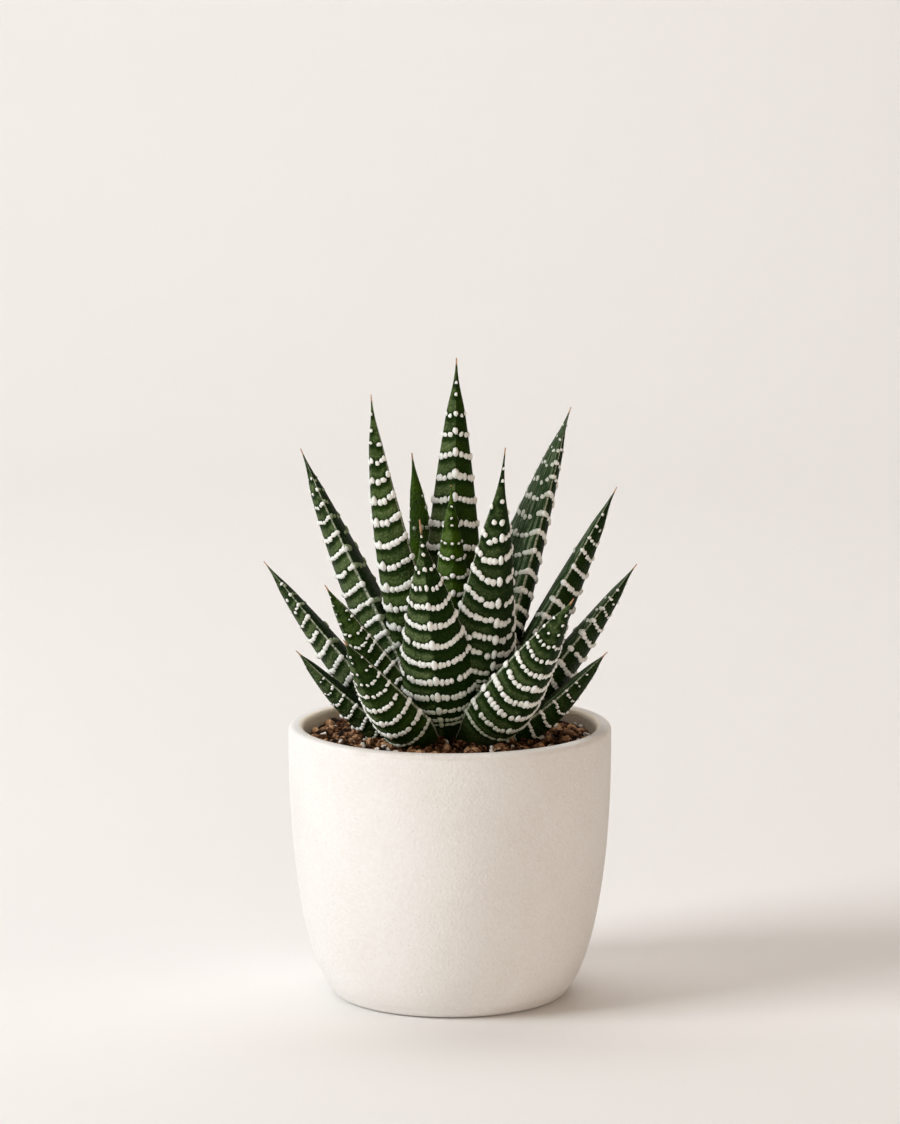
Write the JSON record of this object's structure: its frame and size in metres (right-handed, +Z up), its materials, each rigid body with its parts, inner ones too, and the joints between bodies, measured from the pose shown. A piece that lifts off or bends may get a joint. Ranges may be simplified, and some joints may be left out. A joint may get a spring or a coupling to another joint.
{
  "type": "potted haworthia",
  "caption": "Rosette of thick, pointed, white-banded succulent leaves growing from coarse soil in a small round ceramic pot.",
  "frame": {"origin": "centre of the pot's foot, on the surface that it stands on", "axes": "+Z up along the pot's axis, -Y towards the front of the plant, +X to the right seen from the front"},
  "size_m": [0.104, 0.09, 0.1792],
  "materials": {
    "pot": "matt, fired white, faint mottling",
    "soil": "coarse bark and grit with a few white grains",
    "stem": "fleshy, pale green",
    "leaf": "fleshy, dark green, banded with raised white beads",
    "young_leaf": "fleshy, yellow-green, banded with raised white beads"
  },
  "bodies": {
    "root": {"pot": "pot", "soil": "soil", "stem_with_roots": "stem", "leaf_inner_front_tall": "leaf", "leaf_inner_front_young": "young_leaf", "leaf_inner_back_left": "leaf", "leaf_inner_left_tall": "leaf", "leaf_inner_right_tall": "leaf", "leaf_inner_front_right": "leaf", "leaf_inner_back": "leaf", "leaf_inner_back_right": "leaf", "leaf_middle_left": "leaf", "leaf_middle_right": "leaf", "leaf_middle_front": "leaf", "leaf_middle_back_left": "leaf", "leaf_middle_back": "leaf", "leaf_outer_left": "leaf", "leaf_outer_right": "leaf", "leaf_outer_front_left_small": "leaf", "leaf_outer_front_left": "leaf", "leaf_outer_front_right": "leaf", "leaf_outer_back": "leaf", "leaf_outer_back_left": "leaf", "leaf_outer_back_right": "leaf", "leaf_lowest_left": "leaf", "leaf_lowest_right": "leaf", "leaf_lowest_back_left": "leaf", "leaf_lowest_back_right": "leaf"}
  },
  "joints": []
}
